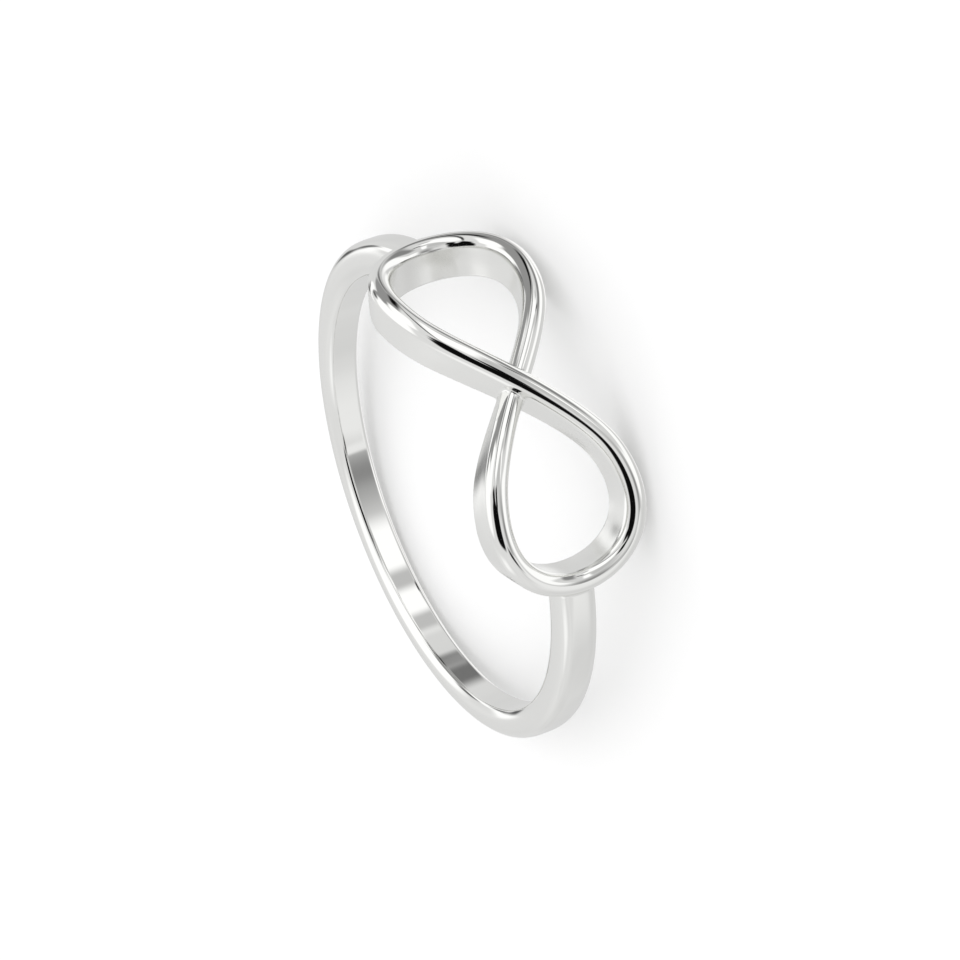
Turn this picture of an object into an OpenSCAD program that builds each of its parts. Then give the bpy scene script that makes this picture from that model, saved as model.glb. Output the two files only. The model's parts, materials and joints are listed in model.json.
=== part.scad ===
// Infinity ring in polished silver: a plain hoop whose ends run into an infinity sign that is
// bent round the finger. It lies on its side, on the lower edges of the sign's two loops and
// on the back of the hoop.

/* [Finger hole] */
// diameter of the round hole that the finger goes through
inner_d = 17.2; // [15:0.1:21]

/* [Sign] */
// length of the sign round the finger, between the middles of the wire at its two tips
sign_length = 15.2; // [13:0.1:17]
// height of the sign along the finger, between the middles of the wire
sign_height = 5.3; // [4.2:0.1:6.4]
// width of the flat wire that the sign is bent from
wire_w = 0.88; // [0.7:0.02:1.1]
// height of the wire's upright sides above the finger
wall_h = 1.18; // [1:0.02:1.6]
// height of the wire's round top above its sides
crown_h = 0.45; // [0.3:0.01:0.6]
// how far the lower strand sinks where the upper one passes over it
dip_h = 0.5; // [0.3:0.05:0.7]

/* [Hoop] */
// width of the hoop where it meets the sign
shoulder_w = 1.55; // [1.2:0.05:2.2]
// width of the hoop at the back
back_w = 1.4; // [1.2:0.05:1.8]
// thickness of the hoop where it meets the sign
shoulder_t = 1.4; // [1:0.05:1.5]
// thickness of the hoop at the back
back_t = 1.05; // [0.8:0.05:1.3]
// how far the hoop lies above the middle of the sign
hoop_rise = 0.18; // [0:0.02:0.3]
// width of the slope on the hoop's two edges inside the finger hole
edge_slope = 0.2; // [0.1:0.02:0.3]
// height of the hoop's sides, from the finger to where its outside rounds over
side_h = 0.5; // [0.4:0.05:0.6]

/* [Hidden] */
bore_r = inner_d / 2;
// the upright sides end and the round top begins at this distance from the finger's axis
wall_r = bore_r + wall_h;
// everything starts this far inside the finger hole, which is cut last
sink = 0.3;

// the sign's outline is two sums of sine waves, so each loop is full at its tip
length_waves = [1, -0.064, 0.061];
height_waves = [1, -0.069, 0.084];
length_scale = sign_length / 2 / (length_waves[0] - length_waves[1] + length_waves[2]);
height_peak = max([for (t = [0:1:90]) height_sum(t)]);
height_scale = sign_height / 2 / height_peak;
// half the length over which the lower strand dips, as an angle of the outline
dip_turn = 15;

// how square the hoop's outside is: 1 is an ellipse, 0 a rectangle
round_power = 0.55;
// how far the hoop's ends go past the middle of the wire, as a turn round the finger
hoop_bite = 1.1;

// numbers of flats: along half the sign, over the wire's top, round the hoop and over its outside
strand_steps = 44;
crown_steps = 8;
hoop_steps = 56;
outside_steps = 10;

// turns round the finger, from the middle of the sign to its tips and to the loops' widest place
tip_turn = round_finger(sign_length / 2);
loop_turn = round_finger(length_scale * length_sum(peak_t()));

// the lying ring touches the floor with the loops' lower corners and the back's lower corner
loop_z = (sign_height + wire_w) / 2;
loop_y = bore_r * cos(loop_turn);
rest_tilt = min([for (p = hoop_ring(180)) atan2(p[2] + loop_z, p[1] + loop_y)]);
rest_z = -min([for (t = [90:1:180], side = [-1, 1]) tilted_z(corner(t, side))]);

// the tilted ring is centred between the front of its sign and the back of its hoop
front_y = min([for (t = [-90:1:90], p = wire_ring(t)) tilted_y(p)]);
back_end_y = max([for (p = hoop_ring(180)) tilted_y(p)]);
middle_y = (front_y + back_end_y) / 2;

function length_sum(t) =
    length_waves[0] * sin(t) + length_waves[1] * sin(3 * t) + length_waves[2] * sin(5 * t);
function height_sum(t) =
    height_waves[0] * sin(2 * t) + height_waves[1] * sin(4 * t) + height_waves[2] * sin(6 * t);

// the angle of the outline at which a loop is widest
function peak_t() =
    let (heights = [for (t = [0:1:90]) height_sum(t)])
    search(height_peak, heights)[0];

// the turn round the finger that a length along the sign's sides takes
function round_finger(length) = length / wall_r * 180 / PI;

function tilted_y(p) = p[1] * cos(rest_tilt) + p[2] * sin(rest_tilt);
function tilted_z(p) = p[2] * cos(rest_tilt) - p[1] * sin(rest_tilt);

// the sign's outline laid flat: x round the finger, y along it
function outline(t) = [length_scale * length_sum(t), height_scale * height_sum(t)];

// the unit vector square to the outline
function across(t) =
    let (d = outline(t + 0.5) - outline(t - 0.5))
    [-d[1], d[0]] / norm(d);

// how far the strand has sunk at t, with 180 the middle of the lower strand
function dip(t) = dip_h * exp(-pow((t - 180) / dip_turn, 2));

// the wire's section: how far across it, and how far from the finger's axis
function wire_section(sunk) = concat(
    [[-wire_w / 2, bore_r - sink]],
    [
        for (k = [0:crown_steps])
            let (a = 180 - 180 * k / crown_steps)
            [wire_w / 2 * cos(a), wall_r - sunk + crown_h * sin(a)]
    ],
    [[wire_w / 2, bore_r - sink]]
);

// a point of the flat outline, put at radius r round the finger, which runs along z
function wrapped(p, r) =
    let (turn = round_finger(p[0]))
    [r * sin(turn), -r * cos(turn), p[1]];

function wire_ring(t) = [
    for (s = wire_section(dip(t)))
        wrapped(outline(t) + s[0] * across(t), s[1])
];

// the wire's corner in the finger hole, on either side
function corner(t, side) = wrapped(outline(t) + side * wire_w / 2 * across(t), bore_r);

// width and thickness of the hoop at a turn, from the sign at tip_turn to the back at 180
function to_sign(turn) = (1 + cos(turn)) / (1 + cos(tip_turn));
function hoop_w(turn) = back_w + (shoulder_w - back_w) * to_sign(turn);
function hoop_t(turn) = back_t + (shoulder_t - back_t) * to_sign(turn);

// half of the hoop's section, from its edge in the finger hole to the middle of its outside
function hoop_half(turn) =
    let (half = hoop_w(turn) / 2, side_r = bore_r + side_h, top_r = bore_r + hoop_t(turn))
    concat(
        [[half - edge_slope - sink, bore_r - sink], [half, bore_r + edge_slope]],
        [
            for (k = [0:outside_steps / 2])
                let (a = 180 * k / outside_steps)
                [
                    half * pow(cos(a), round_power),
                    side_r + (top_r - side_r) * pow(sin(a), round_power)
                ]
        ]
    );

function hoop_ring(turn) =
    let (
        half = hoop_half(turn),
        other = [for (k = [len(half) - 2:-1:0]) [-half[k][0], half[k][1]]]
    )
    [
        for (s = concat(half, other))
            [s[1] * sin(turn), -s[1] * cos(turn), hoop_rise - s[0]]
    ];

// a solid with flat ends through rings of points, all rings with the same number of them
module skin(rings) {
    n = len(rings[0]);
    last = len(rings) - 1;
    sides = [
        for (i = [0:last - 1], j = [0:n - 1])
            let (a = i * n + j, b = i * n + (j + 1) % n)
            each [[a, b, b + n], [a, b + n, a + n]]
    ];
    start = [for (j = [n - 1:-1:0]) j];
    end = [for (j = [0:n - 1]) last * n + j];
    polyhedron(points = [for (r = rings) each r], faces = concat([start], sides, [end]));
}

// half of the sign: the upper strand starts at -90, the lower one at 90
module strand(start_t) {
    skin([for (k = [0:strand_steps]) wire_ring(start_t + 180 * k / strand_steps)]);
}

module hoop() {
    start = tip_turn - hoop_bite;
    sweep = 360 - 2 * start;
    skin([for (k = [0:hoop_steps]) hoop_ring(start + sweep * k / hoop_steps)]);
}

module infinity_ring() {
    color("silver")
        translate([0, -middle_y, rest_z])
            rotate([-rest_tilt, 0, 0])
                difference() {
                    union() {
                        strand(-90);
                        strand(90);
                        hoop();
                    }
                    cylinder(r = bore_r, h = 4 * sign_height, center = true, $fn = 96);
                }
}

infinity_ring();
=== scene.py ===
import json
from math import cos, pi, radians, sin, tan
import bpy
import numpy as np
from mathutils import Matrix, Vector


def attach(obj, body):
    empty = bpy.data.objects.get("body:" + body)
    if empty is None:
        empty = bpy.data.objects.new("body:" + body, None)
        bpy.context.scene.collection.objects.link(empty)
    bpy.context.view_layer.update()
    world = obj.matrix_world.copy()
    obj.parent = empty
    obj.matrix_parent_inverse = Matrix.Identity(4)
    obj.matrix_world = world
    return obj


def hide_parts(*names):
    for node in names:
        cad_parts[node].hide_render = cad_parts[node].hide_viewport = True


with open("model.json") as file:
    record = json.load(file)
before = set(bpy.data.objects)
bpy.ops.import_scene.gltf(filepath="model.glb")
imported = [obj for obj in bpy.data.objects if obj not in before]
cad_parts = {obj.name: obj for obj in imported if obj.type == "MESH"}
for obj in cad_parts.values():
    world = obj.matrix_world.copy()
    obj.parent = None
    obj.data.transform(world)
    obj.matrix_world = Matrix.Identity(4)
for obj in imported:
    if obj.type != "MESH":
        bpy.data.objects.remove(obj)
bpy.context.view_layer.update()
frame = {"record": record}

# Polished silver infinity ring, lying on its side. Sizes are in millimetres in the ring's own
# frame: the finger along z, the infinity sign towards -y, the back of the hoop towards +y.
fingerHole = next(m for m in frame["record"]["mounts"] if m["name"] == "finger_hole")
boreRadius = fingerHole["dims"]["r_mm"]


def ringToRow():
    z = Vector(fingerHole["axis"]).normalized()
    x = Vector((1, 0, 0))
    turn = Matrix((x, z.cross(x), z)).transposed().to_4x4()
    return Matrix.Translation(fingerHole["pos_m"]) @ turn @ Matrix.Scale(0.001, 4)


sign = {
    "length": 15.2,  # round the finger, between the middles of the wire
    "height": 5.3,  # along the finger, between the middles of the wire
    "wireWidth": 0.88,
    "wallHeight": 1.18,  # upright sides of the wire
    "bulge": 0.012,  # the sides swell a little halfway up
    "crownHeight": 0.45,  # round top above the sides
    "dip": 0.5,  # the lower strand sinks this far at the crossing
    "dipTurn": radians(15),
    "lengthWaves": (1, -0.064, 0.061),
    "heightWaves": (1, -0.069, 0.084),
    "solder": 0.16,  # width of the solder round the crossing
    "solderFades": (1, 2.4),  # full up to the first distance from the crossing, gone at the second
    "leastSolder": 0.0001,  # keeps its width above zero
}
wallRadius = boreRadius + sign["wallHeight"]

# How finely the surface is worked out
grid = {
    "cell": 0.068,  # size of one face
    "reachZ": 3.2,  # the ring lies within this, along the finger
    "reachR": (8.45, 10.35),  # and between these, out from the middle of the finger
    "peakPlaces": 721,  # tried along a quarter of the outline, to find how wide a loop gets
    "strandPlaces": 33,  # tried along a strand, to find the nearest one roughly
    "strandRounds": 5,  # steps from there to the nearest place
    "surfaceRounds": 6,  # steps of a point to the surface
    "slopeStep": 0.003,
    "leastSlope": 0.2,  # keeps a step short where the field is flat
}


# A sum of sine waves, or its first or second slope
def waves(parts, t, first, every, slope=0):
    beats = [first + every * k for k in range(len(parts))]
    return sum(part * b ** slope * np.sin(b * t + slope * pi / 2) for part, b in zip(parts, beats))


# The sign's outline laid flat, or its first or second slope
def signOutline(t, slope=0):
    peak = waves(sign["heightWaves"], np.linspace(0, pi / 2, grid["peakPlaces"]), 2, 2).max()
    tip = waves(sign["lengthWaves"], pi / 2, 1, 2)
    along = sign["length"] / 2 / tip * waves(sign["lengthWaves"], t, 1, 2, slope)
    up = sign["height"] / 2 / peak * waves(sign["heightWaves"], t, 2, 2, slope)
    return np.stack([along, up])


# How far a place is from the middle of a strand, and how high the strand's sides are there
def nearStrand(turn, z, start):
    place = np.stack([wallRadius * turn, z])
    t = np.linspace(start, start + pi, grid["strandPlaces"])
    far = sum((p[..., None] - c) ** 2 for p, c in zip(place, signOutline(t)))
    t = t[far.argmin(-1)]
    for _ in range(grid["strandRounds"]):
        off, first, second = signOutline(t) - place, signOutline(t, 1), signOutline(t, 2)
        bend = np.maximum((first * first + off * second).sum(0), 1)
        t = np.clip(t - (off * first).sum(0) / bend, start, start + pi)
    off = signOutline(t) - place
    sunk = sign["dip"] * np.exp(-((t - pi) / sign["dipTurn"]) ** 2)
    return np.sqrt((off * off).sum(0)), wallRadius - sunk


hoop = {
    "shoulderWidth": 1.55,  # at the sign
    "backWidth": 1.4,
    "shoulderThickness": 1.4,
    "backThickness": 1.05,
    "sideHeight": 0.5,  # upright sides, before the outside rounds over
    "rise": 0.18,  # the hoop lies this far above the middle of the sign
    "bite": radians(1.1),  # its ends go this far past the middle of the wire
    "roundness": 3.6,  # of its outside: 2 is an ellipse, more is squarer
    "edgeTaper": 0.2,  # its sides draw in by this much towards the finger
    "solder": 0.1,
}
edgeRound = 0.12  # of all edges in the finger hole
buffedAway = 0.009  # the last polishing takes this off all round

# How much a face looks out from the finger or in to it: dull up to the first, bright from the second
dullSides = (0.05, 0.4)


# The greater of two, rounded off where they are close
def blendMax(a, b, width):
    near = np.maximum(width - np.abs(a - b), 0) / width
    return np.maximum(a, b) + width * near ** 3 / 6


def blendMin(a, b, width):
    return -blendMax(-a, -b, width)


# 1 up to the start and 0 from the end, with a soft change between
def fade(x, start, end):
    s = np.clip((x - start) / (end - start), 0, 1)
    return 1 - s * s * (3 - 2 * s)


# Below 0 in the silver and above 0 outside it, by turn round the finger, z and radius
def ringField(turn, z, r, strands):
    wires = []
    for off, top in strands:
        crown = np.maximum(r - top, 0) / sign["crownHeight"]
        up = np.clip((r - boreRadius) / (top - boreRadius), 0, 1)
        half = sign["wireWidth"] / 2 + sign["bulge"] * (4 * up * (1 - up)) ** 2
        wires.append(half * (np.sqrt((off / half) ** 2 + crown ** 2) - 1))
    solder = sign["solder"] * fade(np.abs(turn) * wallRadius, *sign["solderFades"])
    wire = blendMin(*wires, solder + sign["leastSolder"])
    tip = sign["length"] / 2 / wallRadius
    toSign = (1 + np.cos(turn)) / (1 + cos(tip))
    half = (hoop["backWidth"] + (hoop["shoulderWidth"] - hoop["backWidth"]) * toSign) / 2
    thick = hoop["backThickness"] + (hoop["shoulderThickness"] - hoop["backThickness"]) * toSign
    out = r - boreRadius - hoop["sideHeight"]
    half = half - hoop["edgeTaper"] * np.maximum(-out / hoop["sideHeight"], 0) ** 2
    out = np.maximum(out, 0) / (thick - hoop["sideHeight"])
    power = hoop["roundness"]
    band = half * ((np.abs(z - hoop["rise"]) / half) ** power + out ** power) ** (1 / power) - half
    band = np.maximum(band, (tip - hoop["bite"] - np.abs(turn)) * boreRadius)
    return blendMax(blendMin(wire, band, hoop["solder"]), boreRadius - r, edgeRound) + buffedAway


def fieldAt(turn, z, r):
    turn = (turn + pi) % (2 * pi) - pi
    return ringField(turn, z, r, [nearStrand(turn, z, start) for start in (-pi / 2, pi / 2)])


# Quads that part the inside of a field of numbers from its outside; the first axis is a circle
def netQuads(field):
    inside = field < 0
    nxt = np.roll(inside, -1, 0)
    corners = [block[:, b:b + inside.shape[1] - 1, c:c + inside.shape[2] - 1]
               for block in (inside, nxt) for b in (0, 1) for c in (0, 1)]
    count = sum(corner.astype(np.int8) for corner in corners)
    active = (count > 0) & (count < 8)
    number = np.full(active.shape, -1)
    number[active] = np.arange(active.sum())
    before = np.roll(number, 1, 0)
    crossings = (
        (inside[:, 1:-1, 1:-1], nxt[:, 1:-1, 1:-1],
         (number[:, :-1, :-1], number[:, 1:, :-1], number[:, 1:, 1:], number[:, :-1, 1:])),
        (inside[:, :-1, 1:-1], inside[:, 1:, 1:-1],
         (before[:, :, :-1], before[:, :, 1:], number[:, :, 1:], number[:, :, :-1])),
        (inside[:, 1:-1, :-1], inside[:, 1:-1, 1:],
         (before[:, :-1], number[:, :-1], number[:, 1:], before[:, 1:])),
    )
    quads = []
    for here, there, around in crossings:
        around = np.stack(around, -1)
        quads += [around[here & ~there], around[there & ~here][:, ::-1]]
    return np.argwhere(active), np.concatenate(quads)


def slopeOfField(turn, z, r):
    d = grid["slopeStep"]
    return np.stack([
        (fieldAt(turn + d / r, z, r) - fieldAt(turn - d / r, z, r)) / (2 * d),
        (fieldAt(turn, z + d, r) - fieldAt(turn, z - d, r)) / (2 * d),
        (fieldAt(turn, z, r + d) - fieldAt(turn, z, r - d)) / (2 * d),
    ])


# The whole ring as one skin, cast and soldered in one
def buildRing():
    cell = grid["cell"]
    turns = np.linspace(-pi, pi, round(2 * pi * wallRadius / cell), endpoint=False)
    zs = np.arange(-grid["reachZ"], grid["reachZ"], cell)
    rs = np.arange(*grid["reachR"], cell)
    turn, z = np.meshgrid(turns, zs, indexing="ij")
    strands = [[part[..., None] for part in nearStrand(turn, z, start)]
               for start in (-pi / 2, pi / 2)]
    cells, quads = netQuads(ringField(turn[..., None], z[..., None], rs, strands))
    turn = turns[0] + (cells[:, 0] + 0.5) * (turns[1] - turns[0])
    z, r = zs[0] + (cells[:, 1] + 0.5) * cell, rs[0] + (cells[:, 2] + 0.5) * cell
    for _ in range(grid["surfaceRounds"]):
        slope = slopeOfField(turn, z, r)
        steep = np.maximum((slope * slope).sum(0), grid["leastSlope"])
        step = fieldAt(turn, z, r) * slope / steep
        turn, z, r = turn - step[0] / r, z - step[1], r - step[2]
    slope = slopeOfField(turn, z, r)
    points = np.stack([r * np.sin(turn), -r * np.cos(turn), z], -1)
    normals = np.stack([
        slope[2] * np.sin(turn) + slope[0] * np.cos(turn),
        -slope[2] * np.cos(turn) + slope[0] * np.sin(turn),
        slope[1],
    ], -1)
    mesh = bpy.data.meshes.new("ring")
    mesh.from_pydata(points.tolist(), [], quads.tolist())
    matrix = ringToRow()
    mesh.transform(matrix)
    mesh.shade_smooth()
    normals = normals @ np.array(matrix.to_3x3()).T
    normals /= np.linalg.norm(normals, axis=1, keepdims=True)
    mesh.normals_split_custom_set_from_vertices(normals.tolist())
    # The buffing wheel reaches the top and the finger hole best, so the sides stay duller
    outward = np.abs(slope[2]) / np.linalg.norm(slope, axis=0)
    sides = mesh.attributes.new("sides", "FLOAT", "POINT")
    sides.data.foreach_set("value", fade(outward, *dullSides).astype(np.float32))
    obj = bpy.data.objects.new("ring", mesh)
    bpy.context.scene.collection.objects.link(obj)
    return obj


ring = buildRing()
print("ring:", len(ring.data.polygons), "faces")


# A colour code as the linear colour that a socket takes
def linear(code, alpha=1):
    parts = [int(code[k:k + 2], 16) / 255 for k in (0, 2, 4)]
    return [p / 12.92 if p <= 0.04045 else ((p + 0.055) / 1.055) ** 2.4 for p in parts] + [alpha]


# A setting goes to the socket of that name or number, or else to the node itself
def addNode(tree, kind, settings=None, links=None):
    node = tree.nodes.new(kind)
    for key, value in (settings or {}).items():
        if isinstance(key, int) or key in node.inputs:
            node.inputs[key].default_value = value
        else:
            setattr(node, key, value)
    for key, source in (links or {}).items():
        tree.links.new(source, node.inputs[key])
    return node


polish = {
    "colour": "F3F3F1",
    "roughness": (0.03, 0.07),  # hard mirror and the faint haze that buffing leaves
    "duller": 0.17,  # what the sides add to the roughness
    "hazeSize": 2.5,
    "hazeRange": (0.3, 0.7),  # of the noise, for the least and the most haze
    "waveSize": 2.2,  # the hand-worked surface isn't quite even
    "waveHeight": 0.004,
    "hairSize": 0.12,  # hairlines of the last buffing
    "hairHeight": 0.00001,
    "hairStretch": (1, 1, 0.1),  # they run along the finger
}


# Sterling silver, cast, buffed by hand and rhodium plated. The eye gets a hard mirror on the
# round top and in the finger hole, whose reflections swim a little as the buffed surface is
# slightly uneven, and a softer one on the sides.
def polishedSilver():
    material = bpy.data.materials.new("polished sterling silver")
    material.use_nodes = True
    tree = material.node_tree
    tree.nodes.clear()
    place = addNode(tree, "ShaderNodeTexCoord").outputs["Object"]
    haze = addNode(tree, "ShaderNodeTexNoise", {
        "Scale": 1000 / polish["hazeSize"], "Detail": 3.0, "Roughness": 0.6}, {"Vector": place})
    rough = addNode(tree, "ShaderNodeMapRange", {
        "From Min": polish["hazeRange"][0], "From Max": polish["hazeRange"][1],
        "To Min": polish["roughness"][0], "To Max": polish["roughness"][1],
    }, {"Value": haze.outputs["Fac"]})
    sides = addNode(tree, "ShaderNodeAttribute", {"attribute_name": "sides"})
    dull = addNode(tree, "ShaderNodeMath", {
        "operation": "MULTIPLY_ADD", 1: polish["duller"],
    }, {0: sides.outputs["Fac"], 2: rough.outputs["Result"]})
    wave = addNode(tree, "ShaderNodeTexNoise", {
        "Scale": 1000 / polish["waveSize"], "Detail": 1.0}, {"Vector": place})
    uneven = addNode(tree, "ShaderNodeBump", {
        "Distance": polish["waveHeight"] / 1000}, {"Height": wave.outputs["Fac"]})
    stretch = addNode(tree, "ShaderNodeMapping", {
        "Scale": polish["hairStretch"]}, {"Vector": place})
    hair = addNode(tree, "ShaderNodeTexNoise", {
        "Scale": 1000 / polish["hairSize"], "Detail": 2.0}, {"Vector": stretch.outputs["Vector"]})
    lines = addNode(tree, "ShaderNodeBump", {
        "Distance": polish["hairHeight"] / 1000,
    }, {"Height": hair.outputs["Fac"], "Normal": uneven.outputs["Normal"]})
    shader = addNode(tree, "ShaderNodeBsdfPrincipled", {
        "Base Color": linear(polish["colour"]),
        "Metallic": 1.0,
    }, {"Roughness": dull.outputs["Value"], "Normal": lines.outputs["Normal"]})
    addNode(tree, "ShaderNodeOutputMaterial", links={"Surface": shader.outputs["BSDF"]})
    return material


ring.data.materials.clear()
ring.data.materials.append(polishedSilver())
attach(ring, "root")
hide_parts("infinity_ring")
print("material done")

studio = {
    "floorReach": 0.6,  # metres, from the middle to each side
    "floorColour": "FBFBFB",
    "fibreSize": 0.4,
    "fibreHeight": 0.02,
    "fibreStrength": 0.2,
    "skyStrength": 1.12,
    "tentLow": "CBCBCB",  # the pale tent round the ring, from the floor up
    "tentHigh": "D9D9D9",
    "tentStrength": 1.13,
    "tentRise": (-0.9, 0.3),  # upward part of the direction at which its two colours are reached
    "tentFolds": 2.0,  # how many soft folds to a side
    "foldRange": (0.25, 0.75),  # of the noise, for the darkest and the brightest fold
    "foldShade": 0.06,  # how much a fold changes the tent's brightness
    "deepest": 3.5,  # cards show in the first two mirrorings, the plain tent in deeper ones
}

# What the silver mirrors: white, grey and black cards hung in the tent, the last ones in front.
# Turn from the sign towards +x, height, lean, half width and half height are in degrees.
tentCards = [
    # turn, height, lean, half width, half height, softness, colour
    (18, -61, 0, 44, 13, 0.3, "FCFCFC"),
    (135, -54, 0, 26, 13, 0.3, "FAFAFA"),
    (-31, -36, 0, 11, 14, 0.4, "FCFCFC"),
    (44, -36, 0, 32, 8, 0.4, "828282"),
    (120, 14, 0, 15, 7, 0.3, "FFFFFF"),
    (100, 32, 0, 26, 10, 0.15, "8E8E8E"),
    (78, 12, 0, 19, 26, 0.15, "8E8E8E"),
    (128, 58, 0, 24, 26, 0.2, "FFFFFF"),
    (61, 49, 0, 15, 22, 0.2, "FFFFFF"),
    (2, 6, 0, 16, 16, 0.5, "BABABA"),
    (28, 8, 35, 12, 30, 0.2, "FFFFFF"),
    (-132, 42, 0, 16, 9, 0.8, "F4F4F4"),
    (145, 13, 0, 9, 4.5, 0.5, "FFFFFF"),
    (146, 2, 0, 3.5, 6, 0.6, "5C5C5C"),
    (135, 8, 0, 9, 3.5, 0.6, "6C6C6C"),
    (-22, 0, 0, 8, 13, 0.4, "C4C4C4"),
    (2, -12, 0, 15, 4, 0.4, "FFFFFF"),
    (27, -12, 0, 6, 4, 0.4, "FFFFFF"),
    (18, -12, 0, 5, 5, 0.6, "BABABA"),
    (43, -14, 0, 5, 5, 0.5, "BBBBBB"),
    (84, -21, 0, 9, 5, 0.6, "707070"),
    (67, -3, 14, 4, 16, 0.5, "0C0C0C"),
    (40, 18, 42, 1.8, 32, 0.6, "181818"),
    (121, 29, 0, 5, 6, 0.6, "5A5A5A"),
    (-50, -14, 0, 21, 10, 1.0, "646464"),
    (-72, -17, 0, 20, 13, 1.0, "E6E6E6"),
    (-59, -17, 0, 9.5, 9, 0.1, "E6E6E6"),
    (25, -20, 10, 2.5, 5, 0.5, "101010"),
    (-55, 0, -10, 4, 12, 0.5, "101010"),
    (-40, 49, 0, 19, 25, 0.15, "0C0C0C"),
    (-14, 28, 0, 9, 7, 0.3, "0C0C0C"),
    (-7, 51, 0, 11, 10, 0.3, "0C0C0C"),
]


# Axes of something hung at a turn and a height and leaning: right, up, and away from the ring
def hungAxes(turn, height, lean):
    away = Vector((cos(height) * sin(turn), -cos(height) * cos(turn), sin(height)))
    level = Vector((0, 0, 1)).cross(away).normalized()
    up = away.cross(level) * cos(lean) - level * sin(lean)
    return Matrix((up.cross(away), up, away)).transposed()


# A group that lays one card, 2 wide and 2 high at a distance of 1 along z, over what is behind it
def cardGroup():
    tree = bpy.data.node_groups.new("tent card", "ShaderNodeTree")
    kinds = {"Place": "Vector", "Softness": "Float", "Card": "Color", "Behind": "Color"}
    for name, kind in kinds.items():
        tree.interface.new_socket(name, in_out="INPUT", socket_type="NodeSocket" + kind)
    tree.interface.new_socket("Colour", in_out="OUTPUT", socket_type="NodeSocketColor")
    given = addNode(tree, "NodeGroupInput").outputs
    # A square with round corners: the fourth root of x to the fourth plus y to the fourth
    square = addNode(tree, "ShaderNodeVectorMath", {"operation": "MULTIPLY"}, {
        0: given["Place"], 1: given["Place"]})
    fourth = addNode(tree, "ShaderNodeVectorMath", {"operation": "MULTIPLY"}, {
        0: square.outputs[0], 1: square.outputs[0]})
    parts = addNode(tree, "ShaderNodeSeparateXYZ", links={0: fourth.outputs[0]}).outputs
    total = addNode(tree, "ShaderNodeMath", {"operation": "ADD"}, {0: parts["X"], 1: parts["Y"]})
    root = addNode(tree, "ShaderNodeMath", {"operation": "POWER", 1: 0.25}, {0: total.outputs[0]})
    depth = addNode(tree, "ShaderNodeSeparateXYZ", links={0: given["Place"]}).outputs["Z"]
    front = addNode(tree, "ShaderNodeMath", {"operation": "MAXIMUM", 1: 0.001}, {0: depth})
    edge = addNode(tree, "ShaderNodeMath", {"operation": "DIVIDE"}, {
        0: root.outputs[0], 1: front.outputs[0]})
    start = addNode(tree, "ShaderNodeMath", {"operation": "ADD", 0: 1.0}, {1: given["Softness"]})
    end = addNode(tree, "ShaderNodeMath", {
        "operation": "SUBTRACT", 0: 1.0}, {1: given["Softness"]})
    cover = addNode(tree, "ShaderNodeMapRange", {"interpolation_type": "SMOOTHSTEP"}, {
        "Value": edge.outputs[0], "From Min": start.outputs[0], "From Max": end.outputs[0]})
    mix = addNode(tree, "ShaderNodeMix", {"data_type": "RGBA"}, {
        0: cover.outputs["Result"], 6: given["Behind"], 7: given["Card"]})
    addNode(tree, "NodeGroupOutput", links={"Colour": mix.outputs[2]})
    return tree


# Only the silver sees the tent and its cards. The floor is lit by an even white sky.
def buildWorld():
    world = bpy.data.worlds.new("photo tent")
    bpy.context.scene.world = world
    world.use_nodes = True
    world.cycles.sampling_method = "NONE"
    tree = world.node_tree
    tree.nodes.clear()
    look = addNode(tree, "ShaderNodeTexCoord").outputs["Generated"]
    rise = addNode(tree, "ShaderNodeSeparateXYZ", links={0: look}).outputs["Z"]
    low, high = studio["tentRise"]
    climb = addNode(tree, "ShaderNodeMapRange", {
        "From Min": low, "From Max": high}, {"Value": rise})
    seen = addNode(tree, "ShaderNodeMix", {
        "data_type": "RGBA", 6: linear(studio["tentLow"]), 7: linear(studio["tentHigh"]),
    }, {0: climb.outputs["Result"]}).outputs[2]
    folds = addNode(tree, "ShaderNodeTexNoise", {
        "Scale": studio["tentFolds"], "Detail": 2.0}, {"Vector": look})
    shade = addNode(tree, "ShaderNodeMapRange", {
        "From Min": studio["foldRange"][0], "From Max": studio["foldRange"][1],
        "To Min": 1 - studio["foldShade"], "To Max": 1 + studio["foldShade"],
    }, {"Value": folds.outputs["Fac"]})
    seen = addNode(tree, "ShaderNodeVectorMath", {"operation": "SCALE"}, {
        0: seen, "Scale": shade.outputs["Result"]}).outputs[0]
    bare = seen
    group = cardGroup()
    for turn, height, lean, halfWidth, halfHeight, softness, colour in tentCards:
        place = addNode(tree, "ShaderNodeMapping", {
            "vector_type": "TEXTURE",
            "Rotation": hungAxes(radians(turn), radians(height), radians(lean)).to_euler(),
            "Scale": (tan(radians(halfWidth)), tan(radians(halfHeight)), 1),
        }, {"Vector": look})
        card = addNode(tree, "ShaderNodeGroup", {
            "node_tree": group, "Softness": softness, "Card": linear(colour),
        }, {"Place": place.outputs["Vector"], "Behind": seen})
        seen = card.outputs["Colour"]
    path = addNode(tree, "ShaderNodeLightPath").outputs
    deep = addNode(tree, "ShaderNodeMath", {
        "operation": "GREATER_THAN", 1: studio["deepest"]}, {0: path["Ray Depth"]})
    seen = addNode(tree, "ShaderNodeMix", {"data_type": "RGBA"}, {
        0: deep.outputs[0], 6: seen, 7: bare}).outputs[2]
    tent = addNode(tree, "ShaderNodeBackground", {
        "Strength": studio["tentStrength"]}, {"Color": seen})
    plain = addNode(tree, "ShaderNodeBackground", {
        "Color": (1, 1, 1, 1), "Strength": studio["skyStrength"]})
    both = addNode(tree, "ShaderNodeMixShader", links={
        0: path["Is Glossy Ray"], 1: plain.outputs["Background"], 2: tent.outputs["Background"]})
    addNode(tree, "ShaderNodeOutputWorld", links={"Surface": both.outputs["Shader"]})


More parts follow.
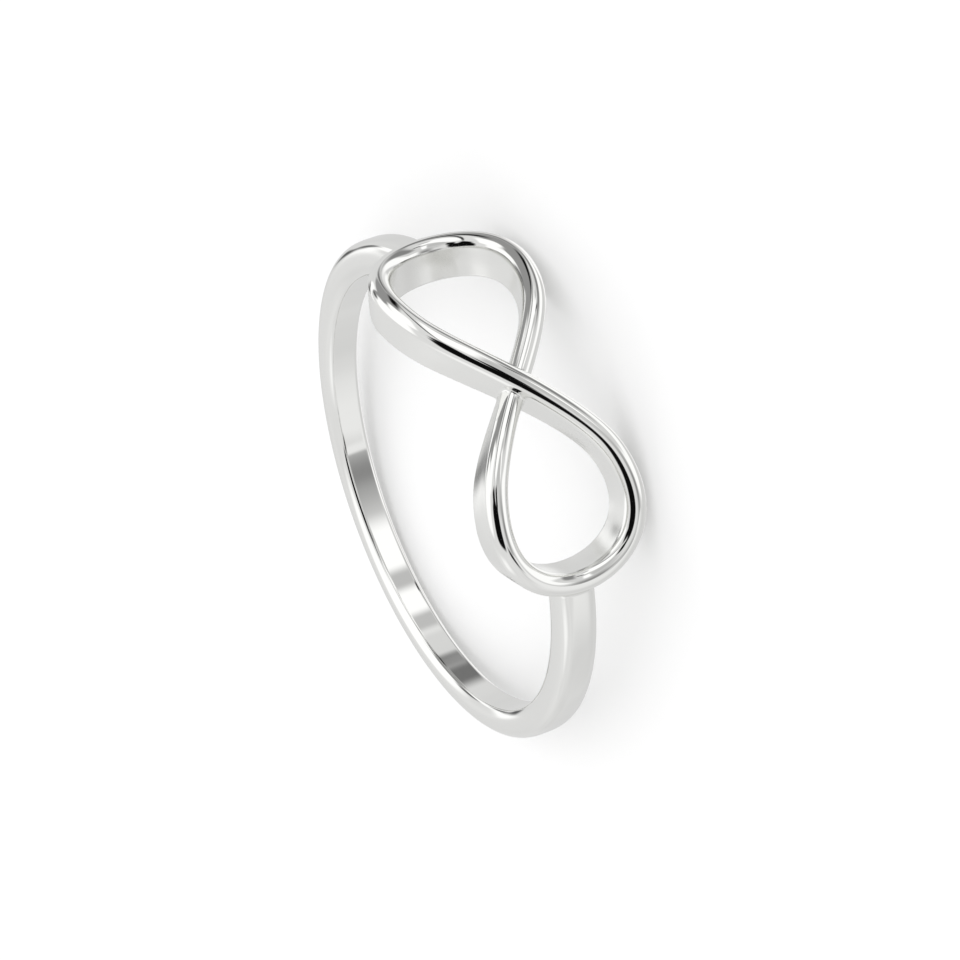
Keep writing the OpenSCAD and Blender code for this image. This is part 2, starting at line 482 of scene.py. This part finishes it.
# Thick matt paper: its fibres give it a hardly visible grain
def backdropPaper():
    material = bpy.data.materials.new("white backdrop paper")
    material.use_nodes = True
    tree = material.node_tree
    tree.nodes.clear()
    place = addNode(tree, "ShaderNodeTexCoord").outputs["Object"]
    fibres = addNode(tree, "ShaderNodeTexNoise", {
        "Scale": 1000 / studio["fibreSize"], "Detail": 3.0}, {"Vector": place})
    grain = addNode(tree, "ShaderNodeBump", {
        "Strength": studio["fibreStrength"], "Distance": studio["fibreHeight"] / 1000,
    }, {"Height": fibres.outputs["Fac"]})
    shader = addNode(tree, "ShaderNodeBsdfPrincipled", {
        "Base Color": linear(studio["floorColour"]), "Roughness": 1.0, "Specular IOR Level": 0.0,
    }, {"Normal": grain.outputs["Normal"]})
    addNode(tree, "ShaderNodeOutputMaterial", links={"Surface": shader.outputs["BSDF"]})
    return material


def buildFloor():
    reach = studio["floorReach"]
    corners = [(x * reach, y * reach, 0) for x, y in ((-1, -1), (1, -1), (1, 1), (-1, 1))]
    mesh = bpy.data.meshes.new("floor")
    mesh.from_pydata(corners, [], [(0, 1, 2, 3)])
    mesh.materials.append(backdropPaper())
    floor = bpy.data.objects.new("floor", mesh)
    bpy.context.scene.collection.objects.link(floor)
    floor.visible_glossy = False  # the silver mirrors the tent alone


buildWorld()
buildFloor()
print("studio done")
bpy.context.scene.view_settings.view_transform = "Standard"

camera = {
    "turn": radians(-17.761),
    "height": radians(30.038),
    "roll": radians(106.914),
    "distance": 0.143125,  # metres, from the place it aims at
    "aim": (-0.000142, -0.000198, 0.001048),
    "lens": 142.55,
}


def addCamera():
    data = bpy.data.cameras.new("camera")
    data.lens = camera["lens"]
    data.clip_start, data.clip_end = 0.01, 10
    obj = bpy.data.objects.new("camera", data)
    bpy.context.scene.collection.objects.link(obj)
    axes = hungAxes(camera["turn"], camera["height"], -camera["roll"])
    place = Vector(camera["aim"]) + axes.col[2] * camera["distance"]
    obj.matrix_world = Matrix.Translation(place) @ axes.to_4x4()
    bpy.context.scene.camera = obj


addCamera()
